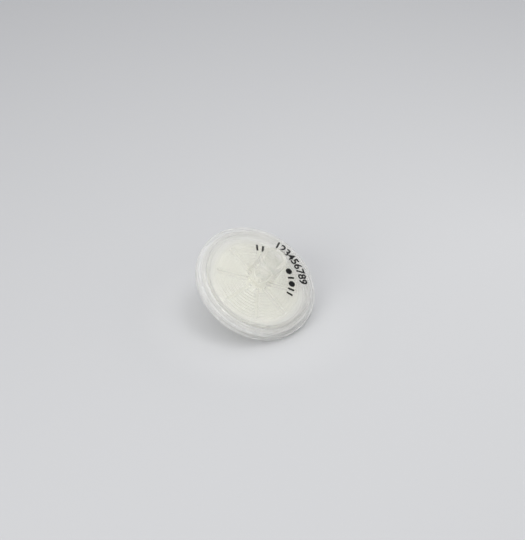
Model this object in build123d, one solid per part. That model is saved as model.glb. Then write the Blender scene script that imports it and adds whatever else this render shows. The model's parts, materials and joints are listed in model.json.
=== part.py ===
from build123d import *
import math
import os

# Syringe filter, 33 mm, lying on its rim and on the tip of its outlet nozzle.
#
# Each piece is made about the filter's own axis, with z = 0 on the plane where the membrane
# lies on the outlet shell, the inlet side at +z and the outlet side at -z. The whole filter is
# then leaned over until rim and nozzle tip share one plane, which is the surface it lies on.
# Millimetres throughout.

# Sealing ring, moulded round the flanges of both shells.
ring_diameter = 33.0
ring_height = 2.9
ring_wall = 1.2              # from the flanges' edge out to the rim
ring_top_lip = 1.1           # how far the ring laps over the inlet flange
ring_bottom_lip = 1.7        # how far it laps under the outlet flange
ring_top_round = 0.55
ring_bottom_round = 0.25
ring_parting_drop = 0.4      # parting line below the ring's mid plane
ring_parting_step = 0.1      # how far the lower half steps in at the parting line
ring_draft = 0.25            # how far the lower half narrows down to its foot

# Inlet shell.
face_plate = 1.75            # wall between the face and the chamber
face_round = 0.5
inlet_chamber = 1.2          # height of the space above the membrane
hub_height = 9.1             # socket mouth above the face
hub_mouth_diameter = 6.7
hub_draft = 0.35             # how much thicker the hub is at its root, on the diameter
hub_root_round = 0.7
hub_mouth_round = 0.2
spoke_count = 8
spoke_width = 0.9
spoke_height = 0.95
spoke_inner_radius = 2.6
spoke_end_gap = 1.9          # from the spokes' ends to the chamber's wall
inlet_ridge_height = 0.4
inlet_ridge_width = 0.4

# Conical Luer fittings, 6 percent taper on the diameter. Each cone ends in a short straight
# stretch that the mating cone doesn't touch: a relief at the socket's floor, a neck at the
# nozzle's root.
luer_taper = 0.06
socket_mouth_diameter = 4.3
socket_depth = 8.0
socket_relief = 1.5
socket_throat_diameter = 2.2
nozzle_tip_diameter = 3.95
nozzle_length = 8.1          # tip below the underside of the outlet shell
nozzle_neck = 1.5
nozzle_bore_diameter = 2.1
nozzle_tip_round = 0.25
lug_reach = 0.55             # how far each locking lug stands out of the hub's mouth
lug_height = 1.3
lug_width = 3.4

# Outlet shell.
outlet_plate = 1.5           # wall under the support ridges
outlet_round = 0.4
support_depth = 0.5          # depth of the grooves between the support ridges
support_ridge_width = 0.45
channel_count = 8
channel_width = 0.9
well_diameter = 3.4          # bowl over the nozzle's bore
root_collar_diameter = 7.2
root_collar_height = 0.6
root_collar_round = 0.3

# Membrane, and how it is held.
membrane_thickness = 0.3
clamp_width = 0.5            # edge of the membrane that the inlet shell bears on
pocket_wall = 1.45           # from the membrane's pocket out to the flanges' edge
flange_thickness = 0.65
ridge_pitch = 0.9
ridge_first_radius = 4.2
seat_gap = 0.02              # left between faces that bear on each other
pocket_gap = 0.15            # round the membrane's edge

# Diameters, each from the one that it sits in.
flange_diameter = ring_diameter - 2 * ring_wall              # both shells, inside the ring
face_diameter = flange_diameter - 2 * ring_top_lip           # raised disc with the print
outlet_disc_diameter = flange_diameter - 2 * ring_bottom_lip  # underside, inside the ring
membrane_diameter = flange_diameter - 2 * (pocket_wall + pocket_gap)
chamber_diameter = membrane_diameter - 2 * clamp_width       # open area of the membrane
spoke_outer_radius = chamber_diameter / 2 - spoke_end_gap
lug_span = hub_mouth_diameter + 2 * lug_reach

# Levels along the axis.
ring_top = ring_height / 2
ring_bottom = -ring_height / 2
membrane_bottom = seat_gap
membrane_top = membrane_bottom + membrane_thickness
clamp_level = membrane_top + seat_gap
plate_underside = clamp_level + inlet_chamber
face_level = plate_underside + face_plate
hub_mouth = face_level + hub_height
outlet_underside = -support_depth - outlet_plate
nozzle_tip = outlet_underside - nozzle_length


def profile(corners):
    """Closed face in the XZ plane from (radius, level, corner round) triples."""
    outline = make_face(Polyline([(r, z) for r, z, _ in corners], close=True))
    for r, z, corner_round in corners:
        if corner_round > 0:
            corner = outline.vertices().sort_by_distance(Vector(r, z))[0]
            outline = fillet(corner, corner_round)
    return Plane.XZ * outline


def turned(corners):
    """Solid turned about Z from a list of corners."""
    return revolve(profile(corners), Axis.Z)


def ring_of(inner, outer, bottom, top):
    """Plain flat-topped ring about Z."""
    return turned([(inner, bottom, 0), (outer, bottom, 0), (outer, top, 0), (inner, top, 0)])


def ridge_radii():
    """Middle radii of the concentric ridges, evenly spaced inside the chamber."""
    last = chamber_diameter / 2 - ridge_pitch
    count = math.floor((last - ridge_first_radius) / ridge_pitch + 0.001) + 1
    return [ridge_first_radius + ridge_pitch * i for i in range(count)]


def bar(inner, outer, width, bottom, top, angle):
    """Upright bar from one radius to another, at an angle about Z."""
    length = outer - inner
    block = Box(length, width, top - bottom, align=(Align.MIN, Align.CENTER, Align.MIN))
    return Rot(0, 0, angle) * Pos(inner, 0, bottom) * block


def luer_lugs():
    """Two locking lugs on the socket's mouth, on the X axis, with sloped undersides."""
    reach = lug_span / 2
    root = hub_mouth_diameter / 2 - 0.3
    slope = reach - root
    bottom = hub_mouth - lug_height
    lug_ring = turned([
        (root, bottom, 0),
        (reach, bottom + slope / 2, 0),
        (reach, hub_mouth - hub_mouth_round, 0),
        (root, hub_mouth - hub_mouth_round, 0),
    ])
    window = Pos(0, 0, hub_mouth) * Box(lug_span + 1, lug_width, 2 * lug_height)
    return lug_ring & window


def inlet_shell():
    """Printed face with the female Luer socket, flow spokes and ridges beneath."""
    flange = flange_diameter / 2
    face = face_diameter / 2
    pocket = membrane_diameter / 2 + pocket_gap
    chamber = chamber_diameter / 2
    hub_mouth_radius = hub_mouth_diameter / 2
    hub_root_radius = hub_mouth_radius + hub_draft / 2
    socket_floor = hub_mouth - socket_depth
    socket_mouth = socket_mouth_diameter / 2
    relief_top = socket_floor + socket_relief
    socket_end = socket_mouth - luer_taper / 2 * (hub_mouth - relief_top)
    throat = socket_throat_diameter / 2
    body = turned([
        (throat, plate_underside, 0),
        (chamber, plate_underside, 0),
        (chamber, clamp_level, 0),
        (pocket, clamp_level, 0),
        (pocket, seat_gap, 0),
        (flange, seat_gap, 0),
        (flange, flange_thickness, 0),
        (face, flange_thickness, 0),
        (face, face_level, face_round),
        (hub_root_radius, face_level, hub_root_round),
        (hub_mouth_radius, hub_mouth, hub_mouth_round),
        (socket_mouth, hub_mouth, hub_mouth_round),
        (socket_end, relief_top, 0),
        (socket_end, socket_floor, 0),
        (throat, socket_floor, 0),
    ])
    for radius in ridge_radii():
        half = inlet_ridge_width / 2
        bottom = plate_underside - inlet_ridge_height
        body += ring_of(radius - half, radius + half, bottom, plate_underside)
    for i in range(spoke_count):
        body += bar(
            spoke_inner_radius,
            spoke_outer_radius,
            spoke_width,
            plate_underside - spoke_height,
            plate_underside,
            i * 360 / spoke_count,
        )
    return body + luer_lugs()


def outlet_shell():
    """Underside with the male Luer nozzle, and the ridged bed that carries the membrane."""
    flange = flange_diameter / 2
    disc = outlet_disc_diameter / 2
    collar = root_collar_diameter / 2
    tip = nozzle_tip_diameter / 2
    bore = nozzle_bore_diameter / 2
    well = well_diameter / 2
    collar_bottom = outlet_underside - root_collar_height
    neck_bottom = collar_bottom - nozzle_neck
    neck = tip + luer_taper / 2 * (neck_bottom - nozzle_tip)
    body = turned([
        (bore, nozzle_tip, 0),
        (tip, nozzle_tip, nozzle_tip_round),
        (neck, neck_bottom, 0),
        (neck, collar_bottom, 0),
        (collar, collar_bottom, root_collar_round),
        (collar, outlet_underside, 0),
        (disc, outlet_underside, outlet_round),
        (disc, -flange_thickness, 0),
        (flange, -flange_thickness, 0),
        (flange, 0, 0),
        (well, 0, 0),
        (bore, -support_depth - well + bore, 0),
    ])
    groove = ridge_pitch - support_ridge_width
    for radius in ridge_radii():
        inner = radius + support_ridge_width / 2
        body -= ring_of(inner, inner + groove, -support_depth, 0)
    for i in range(channel_count):
        body -= bar(
            well / 2,
            chamber_diameter / 2 - support_ridge_width,
            channel_width,
            -support_depth,
            0,
            (i + 0.5) * 360 / channel_count,
        )
    return body


def filter_membrane():
    """Flat filter disc, held by its edge between the two shells."""
    radius = membrane_diameter / 2
    return turned([
        (0, membrane_bottom, 0),
        (radius, membrane_bottom, 0),
        (radius, membrane_top, 0),
        (0, membrane_top, 0),
    ])


def sealing_ring():
    """Ring that holds the flanges of both shells and makes the filter's rim."""
    outer = ring_diameter / 2
    lower = outer - ring_parting_step
    foot = lower - ring_draft
    groove = flange_diameter / 2 + seat_gap
    face = face_diameter / 2 + seat_gap
    disc = outlet_disc_diameter / 2 + seat_gap
    groove_half = flange_thickness + seat_gap
    return turned([
        (disc, ring_bottom, 0),
        (foot, ring_bottom, ring_bottom_round),
        (lower, -ring_parting_drop, 0),
        (outer, -ring_parting_drop, 0),
        (outer, ring_top, ring_top_round),
        (face, ring_top, 0),
        (face, groove_half, 0),
        (groove, groove_half, 0),
        (groove, -groove_half, 0),
        (disc, -groove_half, 0),
    ])


def lean_angle():
    """Lean of the axis, in degrees, at which the rim's foot and the nozzle's tip share a plane.

    Both edges are rounded, so the plane touches two circles in the section through the axis.
    """
    foot = ring_diameter / 2 - ring_parting_step - ring_draft
    rim_r = foot - ring_bottom_round
    rim_z = ring_bottom + ring_bottom_round
    tip_r = nozzle_tip_diameter / 2 - nozzle_tip_round
    tip_z = nozzle_tip + nozzle_tip_round
    run = rim_r - tip_r
    drop = rim_z - tip_z
    centres = math.atan2(drop, run)
    rounds = math.asin((ring_bottom_round - nozzle_tip_round) / math.hypot(run, drop))
    return math.degrees(centres + rounds)


def resting_place(pieces):
    """Leans the filter towards -Y and sets it on z = 0, centred on its own bounding box."""
    leaned = Rot(lean_angle(), 0, 0)
    box = Compound([leaned * piece for piece in pieces]).bounding_box()
    centre = box.center()
    return Pos(-centre.X, -centre.Y, -box.min.Z) * leaned


pieces = {
    "inlet_shell": inlet_shell(),
    "outlet_shell": outlet_shell(),
    "filter_membrane": filter_membrane(),
    "sealing_ring": sealing_ring(),
}
place = resting_place(list(pieces.values()))

os.makedirs("parts", exist_ok=True)
for name, shape in pieces.items():
    export_step(place * shape, "parts/" + name + ".step")

print("lean", round(lean_angle(), 3), "degrees")
print("axis origin at", place.position)
print("inlet mouth at", (place * Pos(0, 0, hub_mouth)).position)
print("outlet tip at", (place * Pos(0, 0, nozzle_tip)).position)
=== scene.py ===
"""Looks of a 33 mm syringe filter that lies on its rim and on its nozzle's tip.

Every piece is modelled about the filter's own axis, in millimetres, with level 0 on the bed
under the membrane, the inlet side up and the outlet side down. FilterAxis reads from the frame
where that axis lies, and places the pieces on it.
"""

from __future__ import annotations

import json
import logging
import math
from dataclasses import dataclass
from enum import Enum
from typing import Any

import bmesh
import bpy
from bmesh.types import BMesh, BMVert
from bpy.types import Material, Mesh, Node, NodeSocket, NodeTree, Object
from mathutils import Matrix, Vector

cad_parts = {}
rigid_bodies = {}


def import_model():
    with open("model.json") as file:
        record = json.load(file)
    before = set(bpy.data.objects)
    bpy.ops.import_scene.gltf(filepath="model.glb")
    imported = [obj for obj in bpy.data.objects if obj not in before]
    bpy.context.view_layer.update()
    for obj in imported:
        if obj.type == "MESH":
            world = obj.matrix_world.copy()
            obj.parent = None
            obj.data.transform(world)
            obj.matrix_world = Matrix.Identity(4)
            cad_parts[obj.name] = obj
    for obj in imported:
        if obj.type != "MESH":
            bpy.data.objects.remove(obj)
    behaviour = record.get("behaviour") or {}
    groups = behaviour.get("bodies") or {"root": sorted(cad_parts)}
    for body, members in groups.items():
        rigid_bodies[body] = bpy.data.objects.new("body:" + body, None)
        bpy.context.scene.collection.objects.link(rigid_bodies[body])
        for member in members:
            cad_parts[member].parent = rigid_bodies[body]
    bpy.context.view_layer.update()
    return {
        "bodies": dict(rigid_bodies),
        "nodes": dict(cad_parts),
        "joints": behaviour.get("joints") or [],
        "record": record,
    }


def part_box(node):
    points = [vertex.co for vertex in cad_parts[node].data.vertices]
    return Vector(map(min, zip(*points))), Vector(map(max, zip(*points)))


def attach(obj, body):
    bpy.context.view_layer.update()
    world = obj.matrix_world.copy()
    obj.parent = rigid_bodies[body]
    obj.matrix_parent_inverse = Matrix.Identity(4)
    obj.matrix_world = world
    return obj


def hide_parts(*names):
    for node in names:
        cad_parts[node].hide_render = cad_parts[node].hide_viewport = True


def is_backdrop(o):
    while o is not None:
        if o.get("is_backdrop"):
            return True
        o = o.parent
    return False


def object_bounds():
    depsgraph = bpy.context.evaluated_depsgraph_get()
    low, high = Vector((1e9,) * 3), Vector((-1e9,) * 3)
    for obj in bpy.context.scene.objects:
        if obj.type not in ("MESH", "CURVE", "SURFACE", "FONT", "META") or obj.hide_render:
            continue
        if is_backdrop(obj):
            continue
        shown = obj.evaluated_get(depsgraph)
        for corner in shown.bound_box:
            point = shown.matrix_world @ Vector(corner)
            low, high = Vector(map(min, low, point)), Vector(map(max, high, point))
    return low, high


LOG = logging.getLogger("syringe_filter")
BODY = "root"
# One millimetre, in metres.
MM = 0.001
# Points of a mesh that lie nearer than this, in metres, are one.
WELD = 1e-7
# A corner nearer the axis than this, in millimetres, is a point on it.
ON_AXIS = 1e-6
# A cutting tool stands this far clear of what it cuts, in millimetres.
CLEAR = 1.0
# Edges that turn by more than this, in degrees, stay sharp in the shading.
SHARP = 32.0
# A colour mix's sockets by number: share, both colours and result.
MIX_SHARE, MIX_LOW, MIX_HIGH, MIX_RESULT = 0, 6, 7, 2

Colour = tuple[float, ...]


def linear(hex_colour: str) -> Colour:
    """Turns an sRGB hex colour into linear light.

    Args:
        hex_colour: Six hex digits, with or without a leading hash.

    Returns:
        Red, green, blue and an alpha of 1.
    """
    digits = hex_colour.lstrip("#")
    channels = [int(digits[i : i + 2], 16) / 255 for i in (0, 2, 4)]
    straight = [c / 12.92 if c <= 0.04045 else ((c + 0.055) / 1.055) ** 2.4 for c in channels]
    return (*straight, 1.0)


def shaded(colour: Colour, shares: tuple[float, ...]) -> Colour:
    """Darkens a linear colour, by a share for each of red, green and blue."""
    return (*(c * share for c, share in zip(colour, shares)), 1.0)


def add_node(
    tree: NodeTree,
    kind: str,
    settings: dict[str | int, Any] | None = None,
    links: dict[str | int, NodeSocket] | None = None,
) -> Node:
    """Adds one shader node.

    Args:
        tree: The tree that it goes into.
        kind: The node's type, as Blender names it.
        settings: Values for its sockets or attributes, by name or number.
        links: Output sockets that feed its inputs, by name or number.

    Returns:
        The new node.
    """
    node = tree.nodes.new(kind)
    for name, value in (settings or {}).items():
        if isinstance(name, int) or name in node.inputs:
            node.inputs[name].default_value = value
        else:
            setattr(node, name, value)
    for name, socket in (links or {}).items():
        tree.links.new(socket, node.inputs[name])
    return node


def new_material(name: str) -> tuple[Material, NodeTree, NodeSocket]:
    """Makes a node material that holds only the place of each point.

    Args:
        name: What the material is.

    Returns:
        The material, its node tree and the point's place in the row frame.
    """
    material = bpy.data.materials.new(name)
    material.use_nodes = True
    tree = material.node_tree
    tree.nodes.clear()
    return material, tree, add_node(tree, "ShaderNodeTexCoord").outputs["Object"]


def noise(
    tree: NodeTree, place: NodeSocket, size_mm: float, detail: int, roughness: float = 0.5
) -> NodeSocket:
    """Adds fine irregular patches.

    Args:
        tree: The material's node tree.
        place: Where each point lies.
        size_mm: The size of the patches.
        detail: How many finer steps they break up into.
        roughness: How strong those steps are.

    Returns:
        How deep in a patch each point is, from 0 to 1.
    """
    settings = {"Scale": 1 / (size_mm * MM), "Detail": detail, "Roughness": roughness}
    return add_node(tree, "ShaderNodeTexNoise", settings, {"Vector": place}).outputs["Fac"]


def blend(
    tree: NodeTree, share: NodeSocket, low: Colour, high: Colour, start: float = 0.0
) -> NodeSocket:
    """Blends two colours.

    Args:
        tree: The material's node tree.
        share: How much of the second colour shows, from 0 to 1.
        low: The first colour.
        high: The second colour.
        start: The share at which the second colour sets in.

    Returns:
        The blended colour.
    """
    node = add_node(tree, "ShaderNodeValToRGB", links={"Fac": share})
    first, last = node.color_ramp.elements
    first.color = low
    first.position = start
    last.color = high
    return node.outputs["Color"]


def eased(
    tree: NodeTree,
    value: NodeSocket,
    span: tuple[float, float],
    result: tuple[float, float] = (0.0, 1.0),
) -> NodeSocket:
    """Maps a span of a value, slowly at both ends.

    Args:
        tree: The material's node tree.
        value: What is mapped.
        span: Where the change starts and ends.
        result: What it gives before and after the span.

    Returns:
        The mapped value.
    """
    settings = {"interpolation_type": "SMOOTHSTEP", "From Min": span[0], "From Max": span[1]}
    settings |= {"To Min": result[0], "To Max": result[1]}
    return add_node(tree, "ShaderNodeMapRange", settings, {"Value": value}).outputs["Result"]


def relief(tree: NodeTree, height: NodeSocket, depth_mm: float, strength: float) -> NodeSocket:
    """Adds a fine relief, drawn in the shading only.

    Args:
        tree: The material's node tree.
        height: The relief's height, from 0 to 1.
        depth_mm: How deep it is.
        strength: How much of it shows.

    Returns:
        The direction that the relief faces.
    """
    settings = {"Strength": strength, "Distance": depth_mm * MM}
    return add_node(tree, "ShaderNodeBump", settings, {"Height": height}).outputs["Normal"]


def surface(tree: NodeTree, settings: dict[str, float], links: dict[str, NodeSocket]) -> None:
    """Ends a material in its one shader.

    Args:
        tree: The material's node tree.
        settings: The shader's plain values, by socket name.
        links: Output sockets that feed its inputs, by name.
    """
    shader = add_node(tree, "ShaderNodeBsdfPrincipled", settings, links)
    add_node(tree, "ShaderNodeOutputMaterial", links={"Surface": shader.outputs["BSDF"]})


# -------- finishes


@dataclass(frozen=True)
class MouldedPolypropylene:
    """Natural polypropylene, injection moulded in a polished tool.

    The resin is milky: light goes in, scatters a little and comes out again, so a wall shows a
    soft, pale picture of what lies behind it. Clarity is the share of the light that goes
    through the surface, and veil is how much of the surface shows over what lies straight
    behind it. The polished tool leaves a low gloss with clean highlights.
    """

    name: str
    tint: str
    clarity: float = 0.57
    veil: float = 0.5
    roughness: float = 0.11
    cloud_mm: float = 6.0
    cloud_shares: tuple[float, float, float] = (0.97, 0.97, 0.96)
    peel_mm: float = 0.6
    peel_depth_mm: float = 0.02
    peel_strength: float = 0.03

    def material(self) -> Material:
        """Builds the node material.

        Returns:
            The material, whose one shader keeps plain values that an export can read.
        """
        material, tree, place = new_material(self.name)
        # Slow clouds in the resin, where the melt flowed, so that no wall is one flat tone.
        cloud = noise(tree, place, self.cloud_mm, detail=2)
        base = linear(self.tint)
        tone = blend(tree, cloud, shaded(base, self.cloud_shares), base)
        # The tool's polish is not perfect: a faint orange peel breaks up the highlights.
        peel = noise(tree, place, self.peel_mm, detail=1)
        face = relief(tree, peel, self.peel_depth_mm, self.peel_strength)
        plain = {
            "Roughness": self.roughness,
            "IOR": 1.49,
            "Specular IOR Level": 0.9,
            "Transmission Weight": self.clarity,
            "Alpha": self.veil,
        }
        surface(tree, plain, {"Base Color": tone, "Normal": face})
        return material


# The plates and flanges: flat walls, half veiled, so the ridges behind them still show.
WALL_RESIN = MouldedPolypropylene("moulded_polypropylene_wall", "#FFFFFC")
# The hub and the nozzle: clearer, with softer highlights along their sides.
TUBE_RESIN = MouldedPolypropylene(
    "moulded_polypropylene_tube", "#FFFFFA", clarity=0.75, veil=0.38, roughness=0.22
)
# The overmoulded ring: thicker, so more of it shows over what lies behind, and less warm.
RING_RESIN = MouldedPolypropylene("moulded_polypropylene_ring", "#FFFFFD", clarity=0.66, veil=0.58)


@dataclass(frozen=True)
class CastMembrane:
    """White porous film, cast: dead matt, with a faint tooth like fine paper.

    It is greyer and less warm in a band towards its edge.
    """

    name: str = "cast_porous_membrane"
    tint: str = "#FDFCEE"
    margin_tint: str = "#E4E4DE"
    margin_start_mm: float = 10.8
    margin_end_mm: float = 12.6
    opacity: float = 0.75
    grain_mm: float = 0.25
    grain_shares: tuple[float, float, float] = (0.93, 0.93, 0.9)
    grain_depth_mm: float = 0.03
    grain_strength: float = 0.3

    def material(self, axis: FilterAxis) -> Material:
        """Builds the node material.

        Args:
            axis: Where the filter's axis lies.

        Returns:
            The material.
        """
        material, tree, place = new_material(self.name)
        # The pores, drawn far coarser than they are, so that they show as a tooth.
        grain = noise(tree, place, self.grain_mm, detail=4, roughness=0.6)
        base = linear(self.tint)
        tone = blend(tree, grain, shaded(base, self.grain_shares), base)
        # How far out on the disc: 0 in the middle of the film, 1 in the greyer band near its edge.
        span = (self.margin_start_mm * MM, self.margin_end_mm * MM)
        margin = eased(tree, axis.radius(tree, place), span)
        colour = add_node(
            tree,
            "ShaderNodeMix",
            {"data_type": "RGBA", MIX_HIGH: linear(self.margin_tint)},
            {MIX_SHARE: margin, MIX_LOW: tone},
        )
        face = relief(tree, grain, self.grain_depth_mm, self.grain_strength)
        plain = {"Roughness": 0.9, "Specular IOR Level": 0.2, "Alpha": self.opacity}
        surface(tree, plain, {"Base Color": colour.outputs[MIX_RESULT], "Normal": face})
        return material


@dataclass(frozen=True)
class PadPrintInk:
    """Black ink, pad printed: a thin matt film, a little paler where the pad left less."""

    name: str = "pad_printed_ink"
    tint: str = "#060607"
    thin_tint: str = "#121214"
    thin_start: float = 0.45
    mottle_mm: float = 0.3

    def material(self) -> Material:
        """Builds the node material.

        Returns:
            The material.
        """
        material, tree, place = new_material(self.name)
        # Uneven film, so that the print is not one dead black.
        mottle = noise(tree, place, self.mottle_mm, detail=3)
        tone = blend(tree, mottle, linear(self.tint), linear(self.thin_tint), self.thin_start)
        surface(tree, {"Roughness": 0.6, "Specular IOR Level": 0.2}, {"Base Color": tone})
        return material


@dataclass(frozen=True)
class SweepPaper:
    """Pale matt background paper; painted shade greys it slowly away from the object, where the
    light falls off.

    Round the object's foot it is a little paler: the milky body passes light on to the paper
    there, more than the lamps alone bring. Far out, beyond what the camera sees, it fades into
    the room, so that no hard horizon stands behind the object in a low view. Its places and
    distances are in metres.
    """

    name: str = "matt_sweep_paper"
    tint: str = "#CECFD0"
    far_shaded_tint: str = "#B6B7B9"
    # Middle and reach of the painted shade: the paper goes from its tint here to the far tint out
    # there.
    middle: tuple[float, float, float] = (0.08, -0.03, 0.0)
    reach: float = 0.31
    foot_start: float = 0.016
    foot_end: float = 0.034
    fade_start: float = 0.27
    fade_end: float = 0.45
    fibre_mm: float = 0.8
    fibre_depth_mm: float = 0.05
    fibre_strength: float = 0.05

    def material(self) -> Material:
        """Builds the node material.

        Returns:
            The material.
        """
        material, tree, place = new_material(self.name)
        # Painted shade: the paper goes from its tint to the far tint away from the middle, for
        # light that falls off.
        away = add_node(
            tree, "ShaderNodeVectorMath", {"operation": "DISTANCE", 1: self.middle}, {0: place}
        )
        share = add_node(
            tree, "ShaderNodeMapRange", {"From Max": self.reach}, {"Value": away.outputs["Value"]}
        )
        near = linear(self.tint)
        tone = blend(tree, share.outputs["Result"], near, linear(self.far_shaded_tint))
        spread = add_node(tree, "ShaderNodeVectorMath", {"operation": "LENGTH"}, {0: place})
        length = spread.outputs["Value"]
        # How far from the foot: 0 round the object, where the paper is palest, 1 beyond.
        foot = eased(tree, length, (self.foot_start, self.foot_end))
        colour = add_node(
            tree,
            "ShaderNodeMix",
            {"data_type": "RGBA", MIX_LOW: near},
            {MIX_SHARE: foot, MIX_HIGH: tone},
        )
        # How much paper is left: all of it near the object, none far out.
        fade = eased(tree, length, (self.fade_start, self.fade_end), (1.0, 0.0))
        # The paper's fibres, drawn coarser than they are, so that they show.
        fibre = noise(tree, place, self.fibre_mm, detail=2)
        face = relief(tree, fibre, self.fibre_depth_mm, self.fibre_strength)
        plain = {"Roughness": 0.8, "Specular IOR Level": 0.2}
        links = {"Base Color": colour.outputs[MIX_RESULT], "Normal": face, "Alpha": fade}
        surface(tree, plain, links)
        return material


# -------- shaping tools


@dataclass(frozen=True)
class FilterAxis:
    """Where the filter's own axis lies in the row frame."""

    placement: Matrix

    @classmethod
    def from_frame(cls, frame: dict[str, Any], membrane_middle: float) -> FilterAxis:
        """Reads the axis from the socket's mount and the membrane's box.

        Args:
            membrane_middle: Level of the membrane's mid plane, in millimetres.

        Returns:
            The axis, with its level 0 on the bed under the membrane.
        """
        socket = next(m for m in frame["record"]["mounts"] if m["kind"] == "bore")
        up = Vector(socket["axis"]).normalized()
        low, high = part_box("filter_membrane")
        origin = (low + high) / 2 - up * membrane_middle * MM
        origin.x = sum(corner.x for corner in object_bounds()) / 2
        across = Vector((1, 0, 0))
        turn = Matrix((across, up.cross(across), up)).transposed().to_4x4()
        return cls(Matrix.Translation(origin) @ turn)

    def point(self, x: float, y: float, z: float) -> Vector:
        """Point in the row frame, in metres, from millimetres on the axis."""
        return self.placement @ (Vector((x, y, z)) * MM)

    def radius(self, tree: NodeTree, position: NodeSocket) -> NodeSocket:
        """Works out how far a point lies from the axis, in a material's nodes.

        Args:
            tree: The material's node tree.
            position: The point, in the row frame.

        Returns:
            The distance, in metres.
        """
        arm = add_node(
            tree,
            "ShaderNodeVectorMath",
            {"operation": "SUBTRACT", 1: self.placement.translation},
            {0: position},
        )
        lever = add_node(
            tree,
            "ShaderNodeVectorMath",
            {"operation": "CROSS_PRODUCT", 1: self.placement.col[2].to_3d()},
            {0: arm.outputs["Vector"]},
        )
        length = add_node(
            tree, "ShaderNodeVectorMath", {"operation": "LENGTH"}, {0: lever.outputs["Vector"]}
        )
        return length.outputs["Value"]

    def place(self, piece: Object) -> None:
        """Moves a piece's mesh, modelled about the axis, to where the axis lies."""
        piece.data.transform(self.placement)


@dataclass(frozen=True)
class Corner:
    """One corner of a turned outline: radius, level and how far it is rounded."""

    r: float
    z: float
    round: float = 0.0


@dataclass(frozen=True)
class Lathe:
    """Turns closed outlines about the axis into smooth closed meshes."""

    segments: int = 192
    arc_steps: int = 5

    def points(self, corners: list[Corner]) -> list[tuple[float, float]]:
        """Rounds an outline's corners.

        Args:
            corners: The outline's corners, in order.

        Returns:
            Radius and level of each point, with an arc at each rounded corner.
        """
        outline: list[tuple[float, float]] = []
        for i, corner in enumerate(corners):
            here = Vector((corner.r, corner.z))
            if corner.round <= 0:
                outline.append((here.x, here.y))
                continue
            before = corners[i - 1]
            after = corners[(i + 1) % len(corners)]
            back = (Vector((before.r, before.z)) - here).normalized()
            ahead = (Vector((after.r, after.z)) - here).normalized()
            half = back.angle(ahead) / 2
            reach = corner.round / math.tan(half)
            centre = here + (back + ahead).normalized() * corner.round / math.sin(half)
            start = here + back * reach - centre
            sweep = start.angle_signed(here + ahead * reach - centre)
            for step in range(self.arc_steps + 1):
                turn = -sweep * step / self.arc_steps
                spoke = Matrix.Rotation(turn, 2) @ start
                outline.append((centre.x + spoke.x, centre.y + spoke.y))
        return outline

    def turn(self, name: str, corners: list[Corner]) -> Object:
        """Turns an outline into an object.

        Args:
            name: The object's name.
            corners: The outline's corners, in order.

        Returns:
            A closed mesh about the Z axis, in metres.
        """
        shape = bmesh.new()
        rings = []
        for r, z in self.points(corners):
            if r < ON_AXIS:
                rings.append([shape.verts.new((0, 0, z * MM))])
                continue
            angles = [2 * math.pi * i / self.segments for i in range(self.segments)]
            ring = [
                shape.verts.new((r * math.cos(a) * MM, r * math.sin(a) * MM, z * MM))
                for a in angles
            ]
            rings.append(ring)
        for i, ring in enumerate(rings):
            self._join(shape, ring, rings[(i + 1) % len(rings)])
        bmesh.ops.recalc_face_normals(shape, faces=shape.faces)
        return finished(name, shape)

    def _join(self, shape: BMesh, one: list[BMVert], other: list[BMVert]) -> None:
        """Fills the band between two rings.

        Args:
            shape: The mesh that the band goes into.
            one: The first ring's points, or the one point that it has on the axis.
            other: The second ring's.
        """
        if len(one) == 1 and len(other) == 1:
            return
        for i in range(self.segments):
            j = (i + 1) % self.segments
            a = [one[0]] if len(one) == 1 else [one[i], one[j]]
            b = [other[0]] if len(other) == 1 else [other[j], other[i]]
            shape.faces.new(a + b)


@dataclass(frozen=True)
class Bar:
    """Upright bar along a radius, in millimetres."""

    inner: float
    outer: float
    width: float
    bottom: float
    top: float


class Join(Enum):
    """How one closed mesh meets another."""

    ADD = "UNION"
    CUT = "DIFFERENCE"
    KEEP_SHARED = "INTERSECT"


def finished(name: str, shape: BMesh) -> Object:
    """Turns a bmesh into a smooth-shaded object in the scene.

    Args:
        name: The object's name.
        shape: The bmesh, which is freed.

    Returns:
        The object.
    """
    mesh = bpy.data.meshes.new(name)
    shape.to_mesh(mesh)
    shape.free()
    soften(mesh)
    piece = bpy.data.objects.new(name, mesh)
    bpy.context.scene.collection.objects.link(piece)
    return piece


def soften(mesh: Mesh) -> None:
    """Shades a mesh smooth, but for its sharp edges.

    Args:
        mesh: The mesh.
    """
    for face in mesh.polygons:
        face.use_smooth = True
    mesh.set_sharp_from_angle(angle=math.radians(SHARP))


def make_bars(name: str, bar: Bar, count: int = 1, phase: float = 0.0) -> Object:
    """Makes upright bars, evenly spaced about the axis.

    Args:
        name: The object's name.
        bar: The size of each.
        count: How many bars there are.
        phase: Share of a step by which the first is turned from the X axis.

    Returns:
        All the bars as one object.
    """
    length, height = bar.outer - bar.inner, bar.top - bar.bottom
    scale = Matrix.Diagonal((length * MM, bar.width * MM, height * MM, 1))
    middle = Vector((bar.inner + bar.outer, 0, bar.bottom + bar.top)) * MM / 2
    shape = bmesh.new()
    for i in range(count):
        spin = Matrix.Rotation(math.radians((i + phase) * 360 / count), 4, "Z")
        bmesh.ops.create_cube(shape, size=1, matrix=spin @ Matrix.Translation(middle) @ scale)
    return finished(name, shape)


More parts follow.
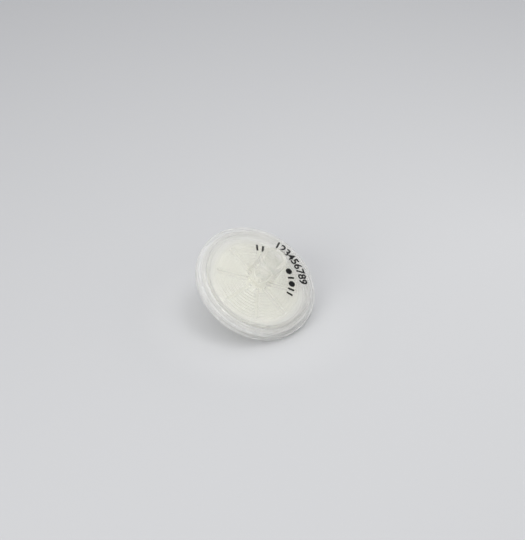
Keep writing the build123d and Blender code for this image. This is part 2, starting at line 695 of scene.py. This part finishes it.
def combine(piece: Object, tool: Object, how: Join) -> None:
    """Changes one closed mesh by another.

    Args:
        piece: The mesh that is changed.
        tool: The mesh that it meets, which is removed.
        how: Whether the tool is added, is cut away, or leaves only what both share.
    """
    step = piece.modifiers.new("combine", "BOOLEAN")
    step.operation = how.value
    step.solver = "EXACT"
    step.object = tool
    graph = bpy.context.evaluated_depsgraph_get()
    mesh = bpy.data.meshes.new_from_object(piece.evaluated_get(graph))
    piece.modifiers.remove(step)
    # Where the two meshes crossed, points lie on each other with empty faces between.
    shape = bmesh.new()
    shape.from_mesh(mesh)
    bmesh.ops.dissolve_degenerate(shape, edges=shape.edges, dist=WELD)
    bmesh.ops.remove_doubles(shape, verts=shape.verts, dist=WELD)
    shape.to_mesh(mesh)
    shape.free()
    soften(mesh)
    piece.data = mesh
    mesh.name = piece.name
    bpy.data.objects.remove(tool)


@dataclass(frozen=True)
class ShellFinish:
    """The two finishes of one moulding: its flat wall's, and its hub's or nozzle's.

    A face is the tube's where it lies beyond the plate by more than the margin.
    """

    wall: Material
    tube: Material
    margin: float = 0.02

    def dress(self, shell: Object, above: float = math.inf, below: float = -math.inf) -> None:
        """Gives a shell its wall's finish, and its tube's beyond a level.

        Args:
            shell: A shell that still stands upright about the Z axis.
            above: The plate's level under a hub, in millimetres.
            below: The plate's level over a nozzle, in millimetres.
        """
        shell.data.materials.clear()
        shell.data.materials.append(self.wall)
        shell.data.materials.append(self.tube)
        for face in shell.data.polygons:
            level = face.center.z / MM
            is_tube = level > above + self.margin or level < below - self.margin
            face.material_index = int(is_tube)


# -------- the filter's pieces


@dataclass(frozen=True)
class Fits:
    """Sizes that more than one piece shares, in millimetres."""

    ring_radius: float = 16.5
    ring_half_height: float = 1.45
    face_radius: float = 14.2
    outlet_disc_radius: float = 13.6
    flange_radius: float = 15.3
    flange_thickness: float = 0.65
    chamber_radius: float = 13.2
    membrane_radius: float = 13.7
    membrane_thickness: float = 0.3
    pocket_gap: float = 0.15
    seat_gap: float = 0.02
    ridge_pitch: float = 0.9
    ridge_first_radius: float = 4.2
    luer_taper: float = 0.06

    @property
    def membrane_top(self) -> float:
        """Level of the membrane's upper side."""
        return self.seat_gap + self.membrane_thickness

    @property
    def clamp_level(self) -> float:
        """Level at which the inlet shell bears on the membrane."""
        return self.membrane_top + self.seat_gap

    def ridges(self) -> list[float]:
        """Spaces the concentric ridges over the chamber.

        Returns:
            The middle radius of each ridge, from the innermost out.
        """
        last = self.chamber_radius - self.ridge_pitch
        count = int((last - self.ridge_first_radius) / self.ridge_pitch) + 1
        return [self.ridge_first_radius + self.ridge_pitch * i for i in range(count)]


@dataclass
class InletShell:
    """Raised face with the female Luer socket, flow spokes and ridges beneath."""

    fits: Fits
    finish: ShellFinish
    lathe: Lathe = Lathe()
    chamber: float = 1.2
    chamber_round: float = 0.15
    clamp_round: float = 0.05
    plate: float = 1.75
    face_round: float = 0.5
    hub_height: float = 9.1
    hub_mouth_radius: float = 3.35
    hub_root_radius: float = 3.525
    hub_root_round: float = 0.7
    mouth_round: float = 0.2
    socket_mouth_radius: float = 2.15
    socket_depth: float = 8.0
    socket_relief: float = 1.5
    socket_floor_round: float = 0.1
    throat_radius: float = 1.1
    throat_round: float = 0.15
    ridge_height: float = 0.4
    ridge_width: float = 0.4
    ridge_round: float = 0.08
    spoke_count: int = 8
    spoke_width: float = 0.9
    spoke_height: float = 0.95
    spoke_inner: float = 2.6
    spoke_outer: float = 11.3
    lug_reach: float = 3.9
    lug_height: float = 1.3
    lug_width: float = 3.4
    lug_root_depth: float = 0.3
    lug_slope_round: float = 0.12
    lug_top_round: float = 0.15

    @property
    def underside(self) -> float:
        """Level of the plate's inner side."""
        return self.fits.clamp_level + self.chamber

    @property
    def face_level(self) -> float:
        """Level of the printed face."""
        return self.underside + self.plate

    @property
    def mouth_level(self) -> float:
        """Level of the socket's mouth."""
        return self.face_level + self.hub_height

    def _underside_corners(self) -> list[Corner]:
        """Outlines the plate's inner side.

        Returns:
            Its corners, from the throat out, with four for each ridge.
        """
        corners = [Corner(self.throat_radius, self.underside, self.throat_round)]
        half = self.ridge_width / 2
        crest = self.underside - self.ridge_height
        for radius in self.fits.ridges():
            corners += [
                Corner(radius - half, self.underside),
                Corner(radius - half, crest, self.ridge_round),
                Corner(radius + half, crest, self.ridge_round),
                Corner(radius + half, self.underside),
            ]
        return corners

    def _outline(self) -> list[Corner]:
        """Outlines the shell.

        Returns:
            Its corners, along the inside and back over the outside.
        """
        fits = self.fits
        pocket = fits.membrane_radius + fits.pocket_gap
        floor = self.mouth_level - self.socket_depth
        relief_top = floor + self.socket_relief
        cone = self.mouth_level - relief_top
        socket_end = self.socket_mouth_radius - fits.luer_taper / 2 * cone
        return self._underside_corners() + [
            Corner(fits.chamber_radius, self.underside, self.chamber_round),
            Corner(fits.chamber_radius, fits.clamp_level, self.clamp_round),
            Corner(pocket, fits.clamp_level),
            Corner(pocket, fits.seat_gap),
            Corner(fits.flange_radius, fits.seat_gap),
            Corner(fits.flange_radius, fits.flange_thickness),
            Corner(fits.face_radius, fits.flange_thickness),
            Corner(fits.face_radius, self.face_level, self.face_round),
            Corner(self.hub_root_radius, self.face_level, self.hub_root_round),
            Corner(self.hub_mouth_radius, self.mouth_level, self.mouth_round),
            Corner(self.socket_mouth_radius, self.mouth_level, self.mouth_round),
            Corner(socket_end, relief_top),
            Corner(socket_end, floor, self.socket_floor_round),
            Corner(self.throat_radius, floor, self.socket_floor_round),
        ]

    def _lugs(self) -> Object:
        """Makes the two locking lugs on the socket's mouth, with sloped undersides.

        Returns:
            Both lugs as one object, on the X axis.
        """
        root = self.hub_mouth_radius - self.lug_root_depth
        bottom = self.mouth_level - self.lug_height
        top = self.mouth_level - self.mouth_round
        slope = (self.lug_reach - root) / 2
        outline = [
            Corner(root, bottom),
            Corner(self.lug_reach, bottom + slope, self.lug_slope_round),
            Corner(self.lug_reach, top, self.lug_top_round),
            Corner(root, top),
        ]
        lugs = self.lathe.turn("lugs", outline)
        reach = self.lug_reach + CLEAR
        bar = Bar(-reach, reach, self.lug_width, bottom - CLEAR, self.mouth_level + CLEAR)
        combine(lugs, make_bars("window", bar), Join.KEEP_SHARED)
        return lugs

    def mesh(self) -> Object:
        """Models the shell about the Z axis.

        Returns:
            The bare shell.
        """
        shell = self.lathe.turn("inlet_shell_body", self._outline())
        # The spokes stand a quarter of the plate deep in it.
        spoke = Bar(
            self.spoke_inner,
            self.spoke_outer,
            self.spoke_width,
            self.underside - self.spoke_height,
            self.underside + self.plate / 4,
        )
        combine(shell, make_bars("spokes", spoke, self.spoke_count), Join.ADD)
        combine(shell, self._lugs(), Join.ADD)
        return shell

    def dress(self, shell: Object) -> None:
        """Gives the plate the wall's finish, and the hub the tube's."""
        self.finish.dress(shell, above=self.face_level)

    def build(self, axis: FilterAxis) -> Object:
        """Builds the shell and puts it in the frame.

        Args:
            axis: Where the filter's axis lies.

        Returns:
            The dressed shell.
        """
        shell = self.mesh()
        self.dress(shell)
        axis.place(shell)
        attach(shell, BODY)
        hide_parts("inlet_shell")
        return shell


@dataclass
class OutletShell:
    """Underside with the male Luer nozzle, and the ridged bed under the membrane."""

    fits: Fits
    finish: ShellFinish
    lathe: Lathe = Lathe()
    plate: float = 1.5
    disc_round: float = 0.4
    support_depth: float = 0.5
    ridge_width: float = 0.45
    ridge_round: float = 0.08
    channel_count: int = 8
    channel_width: float = 0.9
    channel_overlap: float = 0.2
    well_radius: float = 1.7
    well_round: float = 0.1
    collar_radius: float = 3.6
    collar_height: float = 0.6
    collar_round: float = 0.3
    collar_root_round: float = 0.25
    nozzle_length: float = 8.1
    nozzle_neck: float = 1.5
    neck_root_round: float = 0.2
    tip_radius: float = 1.975
    tip_round: float = 0.25
    bore_radius: float = 1.05
    bore_mouth_round: float = 0.1
    bore_end_round: float = 0.2

    @property
    def underside(self) -> float:
        """Level of the underside inside the ring."""
        return -self.support_depth - self.plate

    @property
    def tip_level(self) -> float:
        """Level of the nozzle's tip."""
        return self.underside - self.nozzle_length

    def _bed_corners(self) -> list[Corner]:
        """Outlines the bed under the membrane.

        Returns:
            Its corners, from the rim in, with a groove outside each ridge.
        """
        corners = []
        groove = self.fits.ridge_pitch - self.ridge_width
        for radius in reversed(self.fits.ridges()):
            inner = radius + self.ridge_width / 2
            corners += [
                Corner(inner + groove, 0, self.ridge_round),
                Corner(inner + groove, -self.support_depth),
                Corner(inner, -self.support_depth),
                Corner(inner, 0, self.ridge_round),
            ]
        return corners

    def _outline(self) -> list[Corner]:
        """Outlines the shell.

        Returns:
            Its corners, over the outside and back along the bed.
        """
        fits = self.fits
        collar_level = self.underside - self.collar_height
        neck_level = collar_level - self.nozzle_neck
        cone = neck_level - self.tip_level
        neck = self.tip_radius + fits.luer_taper / 2 * cone
        well_end = -self.support_depth - self.well_radius + self.bore_radius
        return [
            Corner(self.bore_radius, self.tip_level, self.bore_mouth_round),
            Corner(self.tip_radius, self.tip_level, self.tip_round),
            Corner(neck, neck_level),
            Corner(neck, collar_level, self.neck_root_round),
            Corner(self.collar_radius, collar_level, self.collar_round),
            Corner(self.collar_radius, self.underside, self.collar_root_round),
            Corner(fits.outlet_disc_radius, self.underside, self.disc_round),
            Corner(fits.outlet_disc_radius, -fits.flange_thickness),
            Corner(fits.flange_radius, -fits.flange_thickness),
            Corner(fits.flange_radius, 0),
            *self._bed_corners(),
            Corner(self.well_radius, 0, self.well_round),
            Corner(self.bore_radius, well_end, self.bore_end_round),
        ]

    def mesh(self) -> Object:
        """Models the shell about the Z axis.

        Returns:
            The bare shell.
        """
        shell = self.lathe.turn("outlet_shell_body", self._outline())
        # The channels join the bed's grooves to the well, and lie between the spokes.
        channel = Bar(
            self.well_radius - self.channel_overlap,
            self.fits.chamber_radius - self.ridge_width,
            self.channel_width,
            -self.support_depth,
            CLEAR,
        )
        combine(shell, make_bars("channels", channel, self.channel_count, 0.5), Join.CUT)
        return shell

    def dress(self, shell: Object) -> None:
        """Gives the plate the wall's finish, and the nozzle the tube's."""
        self.finish.dress(shell, below=self.underside)

    def build(self, axis: FilterAxis) -> Object:
        """Builds the shell and puts it in the frame.

        Args:
            axis: Where the filter's axis lies.

        Returns:
            The dressed shell.
        """
        shell = self.mesh()
        self.dress(shell)
        axis.place(shell)
        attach(shell, BODY)
        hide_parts("outlet_shell")
        return shell


@dataclass
class SealingRing:
    """Ring moulded round both flanges.

    It has a low bead where the overmoulding met the face, and a lip line and a parting line
    round its side.
    """

    fits: Fits
    finish: MouldedPolypropylene = RING_RESIN
    lathe: Lathe = Lathe()
    bead_width: float = 0.6
    bead_height: float = 0.25
    bead_round: float = 0.24
    bead_root_round: float = 0.05
    lip_radius: float = 16.4
    lip_round: float = 0.35
    lip_level: float = 1.05
    line_depth: float = 0.2
    line_height: float = 0.18
    line_edge_round: float = 0.06
    line_floor_round: float = 0.04
    bottom_round: float = 0.25
    bottom_inner_round: float = 0.1
    parting_level: float = -0.4
    parting_step: float = 0.1
    draft: float = 0.25

    def _line(self, upper: float, lower: float, level: float) -> list[Corner]:
        """Outlines a fine groove round the side.

        Args:
            upper: The side's radius over the groove.
            lower: The side's radius under it.
            level: The groove's upper edge.

        Returns:
            The groove's corners, from its lower edge up.
        """
        floor = min(upper, lower) - self.line_depth
        return [
            Corner(lower, level - self.line_height, self.line_edge_round),
            Corner(floor, level - self.line_height, self.line_floor_round),
            Corner(floor, level, self.line_floor_round),
            Corner(upper, level, self.line_edge_round),
        ]

    def _outline(self) -> list[Corner]:
        """Outlines the ring.

        Returns:
            Its corners, up the side and back down the inside.
        """
        fits = self.fits
        side = fits.ring_radius
        lower = side - self.parting_step
        face = fits.face_radius + fits.seat_gap
        disc = fits.outlet_disc_radius + fits.seat_gap
        groove = fits.flange_radius + fits.seat_gap
        jaw = fits.flange_thickness + fits.seat_gap
        top = fits.ring_half_height
        bead_top = top + self.bead_height
        slope = self.draft / (top + self.parting_level)
        return [
            Corner(disc, -top, self.bottom_inner_round),
            Corner(lower - self.draft, -top, self.bottom_round),
            *self._line(side, lower - slope * self.line_height, self.parting_level),
            *self._line(self.lip_radius, side, self.lip_level),
            Corner(self.lip_radius, top, self.lip_round),
            Corner(face + self.bead_width, top, self.bead_root_round),
            Corner(face + self.bead_width, bead_top, self.bead_round),
            Corner(face, bead_top, self.bead_round),
            Corner(face, jaw),
            Corner(groove, jaw),
            Corner(groove, -jaw),
            Corner(disc, -jaw),
        ]

    def mesh(self) -> Object:
        """Models the ring about the Z axis."""
        return self.lathe.turn("sealing_ring_body", self._outline())

    def dress(self, ring: Object) -> None:
        """Gives the ring its finish."""
        ring.data.materials.append(self.finish.material())

    def build(self, axis: FilterAxis) -> Object:
        """Builds the ring and puts it in the frame.

        Args:
            axis: Where the filter's axis lies.

        Returns:
            The dressed ring.
        """
        ring = self.mesh()
        self.dress(ring)
        axis.place(ring)
        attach(ring, BODY)
        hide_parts("sealing_ring")
        return ring


@dataclass
class FilterMembrane:
    """White filter disc between the shells."""

    fits: Fits
    finish: CastMembrane = CastMembrane()
    lathe: Lathe = Lathe()
    edge_round: float = 0.05

    @property
    def middle(self) -> float:
        """Level of the membrane's mid plane."""
        return self.fits.seat_gap + self.fits.membrane_thickness / 2

    def mesh(self) -> Object:
        """Models the membrane about the Z axis.

        Returns:
            The bare disc.
        """
        bottom, top = self.fits.seat_gap, self.fits.membrane_top
        edge = self.fits.membrane_radius
        outline = [
            Corner(0, bottom),
            Corner(edge, bottom, self.edge_round),
            Corner(edge, top, self.edge_round),
            Corner(0, top),
        ]
        return self.lathe.turn("filter_membrane_disc", outline)

    def dress(self, disc: Object, axis: FilterAxis) -> None:
        """Gives the membrane its finish, whose margin lies about the axis."""
        disc.data.materials.append(self.finish.material(axis))

    def build(self, axis: FilterAxis) -> Object:
        """Builds the membrane and puts it in the frame.

        Args:
            axis: Where the filter's axis lies.

        Returns:
            The dressed membrane.
        """
        disc = self.mesh()
        self.dress(disc, axis)
        axis.place(disc)
        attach(disc, BODY)
        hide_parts("filter_membrane")
        return disc


class Mark(Enum):
    """The plain shapes that are printed on the inner arc."""

    BAR = "bar"
    DISC = "disc"


@dataclass
class FacePrint:
    """Ink on the face: plain numbers on an outer arc and plain marks on an inner one.

    The film is lifted by less than half its thickness, so its underside is sunk in the face.
    The weight pushes a digit's outline out, for a bolder line, and the cap share is how tall a
    digit stands in a font of size 1. Angles are about the axis, in degrees from X.
    """

    face_level: float
    finish: PadPrintInk = PadPrintInk()
    thickness: float = 0.03
    lift: float = 0.013
    number_height: float = 2.2
    cap_share: float = 0.7
    number_weight: float = 0.08
    curve_steps: int = 4
    number_radius: float = 12.1
    number_start: float = 22.8
    number_step: float = -7.4
    numbers: str = "123456789"
    mark_height: float = 1.75
    bar_width: float = 0.55
    disc_segments: int = 48
    mark_radius: float = 8.85
    marks: tuple[tuple[Mark, float], ...] = (
        (Mark.BAR, 53.0),
        (Mark.BAR, 42.5),
        (Mark.DISC, -18.6),
        (Mark.BAR, -31.6),
        (Mark.DISC, -43.6),
        (Mark.BAR, -55.0),
        (Mark.BAR, -65.0),
    )

    def _upright(self, angle: float, radius: float) -> Matrix:
        """Place on the face for a shape drawn upright in XY, its top away from the hub."""
        spin = Matrix.Rotation(math.radians(angle - 90), 4, "Z")
        return spin @ Matrix.Translation(Vector((0, radius, self.face_level + self.lift)) * MM)

    def _digit(self, glyph: str) -> Mesh:
        """Draws one digit.

        Args:
            glyph: The digit.

        Returns:
            A thin closed mesh, centred on the origin.
        """
        text = bpy.data.curves.new("digit", "FONT")
        text.body = glyph
        text.align_x = "CENTER"
        text.align_y = "CENTER"
        text.size = self.number_height * MM / self.cap_share
        text.offset = self.number_weight * MM
        text.resolution_u = self.curve_steps
        text.extrude = self.thickness * MM / 2
        holder = bpy.data.objects.new("digit", text)
        bpy.context.scene.collection.objects.link(holder)
        graph = bpy.context.evaluated_depsgraph_get()
        mesh = bpy.data.meshes.new_from_object(holder.evaluated_get(graph))
        bpy.data.objects.remove(holder)
        bpy.data.curves.remove(text)
        return mesh

    def _numbers(self) -> Object:
        """Draws the row of plain numbers.

        Returns:
            The row, on its arc about the Z axis.
        """
        shape = bmesh.new()
        for i, glyph in enumerate(self.numbers):
            angle = self.number_start + self.number_step * i
            mesh = self._digit(glyph)
            mesh.transform(self._upright(angle, self.number_radius))
            shape.from_mesh(mesh)
            bpy.data.meshes.remove(mesh)
        bmesh.ops.remove_doubles(shape, verts=shape.verts, dist=WELD)
        bmesh.ops.recalc_face_normals(shape, faces=shape.faces)
        return finished("print_numbers", shape)

    def _marks(self) -> Object:
        """Draws the row of bars and discs.

        Returns:
            The row, on its arc about the Z axis.
        """
        shape = bmesh.new()
        height = self.mark_height * MM
        film = self.thickness * MM
        for mark, angle in self.marks:
            place = self._upright(angle, self.mark_radius)
            if mark is Mark.BAR:
                size = Matrix.Diagonal((self.bar_width * MM, height, film, 1))
                bmesh.ops.create_cube(shape, size=1, matrix=place @ size)
                continue
            bmesh.ops.create_cone(
                shape,
                cap_ends=True,
                segments=self.disc_segments,
                radius1=height / 2,
                radius2=height / 2,
                depth=film,
                matrix=place,
            )
        return finished("print_marks", shape)

    def dress(self, row: Object) -> None:
        """Gives a row its ink."""
        row.data.materials.append(self.finish.material())

    def build(self, axis: FilterAxis) -> list[Object]:
        """Builds the print and puts it in the frame.

        Args:
            axis: Where the filter's axis lies.

        Returns:
            The two printed rows.
        """
        rows = [self._numbers(), self._marks()]
        for row in rows:
            self.dress(row)
            axis.place(row)
            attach(row, BODY)
        return rows


# -------- studio


class LampUse(Enum):
    """What a lamp lights: the surfaces' own colour with its shadows, their gloss, or both."""

    BOTH = "both"
    SHADE = "shade"
    SHINE = "shine"


@dataclass(frozen=True)
class Lamp:
    """Square soft light that faces the filter; its place and side are in metres."""

    name: str
    place: tuple[float, float, float]
    side: float
    power: float
    colour: str = "#FFFFFF"
    use: LampUse = LampUse.BOTH

    def hang(self, target: Vector) -> None:
        """Hangs the light and turns it to the filter.

        Args:
            target: The point that it faces, in metres.
        """
        data = bpy.data.lights.new(self.name, "AREA")
        data.shape = "SQUARE"
        data.size = self.side
        data.energy = self.power
        data.color = linear(self.colour)[:3]
        light = bpy.data.objects.new(self.name, data)
        light.visible_diffuse = self.use is not LampUse.SHINE
        light.visible_glossy = self.use is not LampUse.SHADE
        light.visible_transmission = self.use is not LampUse.SHADE
        light.location = Vector(self.place)
        toward = target - light.location
        light.rotation_euler = toward.to_track_quat("-Z", "Y").to_euler()
        bpy.context.scene.collection.objects.link(light)


# A window at the side, which also draws the long highlight on the ring.
WINDOW = Lamp("window", (-0.4, -0.04, 0.2), 0.3, 0.8, "#FFFEFC")
# Light from above, for a soft shadow under the filter.
SOFT_LAMP = Lamp("soft_lamp", (0.01, -0.15, 0.46), 0.2, 0.42, use=LampUse.SHADE)
# Small lamp from above, for the clean glints that a shiny moulding shows.
GLINT_LAMP = Lamp("glint_lamp", (-0.06, -0.08, 0.48), 0.045, 0.6, use=LampUse.SHINE)


@dataclass
class Studio:
    """Pale paper floor, a pale room, soft lamps and the camera.

    The camera's angles are in degrees, its distance is in metres and its aim in millimetres: a
    level on the axis, and how far to the right and above that.
    """

    axis: FilterAxis
    paper: SweepPaper = SweepPaper()
    floor_cuts: int = 4
    lamps: tuple[Lamp, ...] = (WINDOW, SOFT_LAMP, GLINT_LAMP)
    room_tint: str = "#FBFBFD"
    room_strength: float = 0.85
    azimuth: float = -47.6
    elevation: float = 34.0
    distance: float = 0.3
    aim_level: float = 0.85
    aim_right: float = 1.48
    aim_up: float = 2.93
    lens: float = 77.0
    film_width: float = 36.0

    def floor(self) -> None:
        """Lays the paper that the filter lies on, as far out as it fades."""
        shape = bmesh.new()
        bmesh.ops.create_grid(
            shape,
            x_segments=self.floor_cuts,
            y_segments=self.floor_cuts,
            size=self.paper.fade_end,
        )
        floor = finished("floor", shape)
        floor.data.materials.append(self.paper.material())
        floor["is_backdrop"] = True

    def room(self) -> None:
        """Fills the room with plain pale light."""
        world = bpy.data.worlds.new("room")
        world.use_nodes = True
        tree = world.node_tree
        tree.nodes.clear()
        light = add_node(
            tree,
            "ShaderNodeBackground",
            {"Color": linear(self.room_tint), "Strength": self.room_strength},
        )
        add_node(tree, "ShaderNodeOutputWorld", links={"Surface": light.outputs["Background"]})
        bpy.context.scene.world = world

    def camera(self) -> None:
        """Points the camera at the filter."""
        azimuth = math.radians(self.azimuth)
        elevation = math.radians(self.elevation)
        away = Vector(
            (
                math.sin(azimuth) * math.cos(elevation),
                -math.cos(azimuth) * math.cos(elevation),
                math.sin(elevation),
            )
        )
        turn = away.to_track_quat("Z", "Y")
        aim = self.axis.point(0, 0, self.aim_level)
        aim += turn @ (Vector((self.aim_right, self.aim_up, 0)) * MM)
        data = bpy.data.cameras.new("camera")
        data.sensor_width = self.film_width
        data.lens = self.lens
        camera = bpy.data.objects.new("camera", data)
        camera.location = aim + away * self.distance
        camera.rotation_euler = turn.to_euler()
        bpy.context.scene.collection.objects.link(camera)
        bpy.context.scene.camera = camera

    def build(self) -> None:
        """Sets up the floor, room, lamps and camera."""
        self.floor()
        self.room()
        for lamp in self.lamps:
            lamp.hang(self.axis.point(0, 0, 0))
        self.camera()
        bpy.context.scene.view_settings.view_transform = "Standard"


def main() -> None:
    """Builds the filter piece by piece, then the studio."""
    logging.basicConfig(level=logging.INFO, format="%(name)s: %(message)s")
    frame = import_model()
    fits = Fits()
    membrane = FilterMembrane(fits)
    axis = FilterAxis.from_frame(frame, membrane.middle)
    shell_finish = ShellFinish(WALL_RESIN.material(), TUBE_RESIN.material())
    inlet = InletShell(fits, shell_finish)
    pieces = [
        membrane.build(axis),
        OutletShell(fits, shell_finish).build(axis),
        inlet.build(axis),
        SealingRing(fits).build(axis),
        *FacePrint(inlet.face_level).build(axis),
    ]
    for piece in pieces:
        LOG.info("%s: %d faces", piece.name, len(piece.data.polygons))
    Studio(axis).build()


if __name__ == "__main__":
    main()
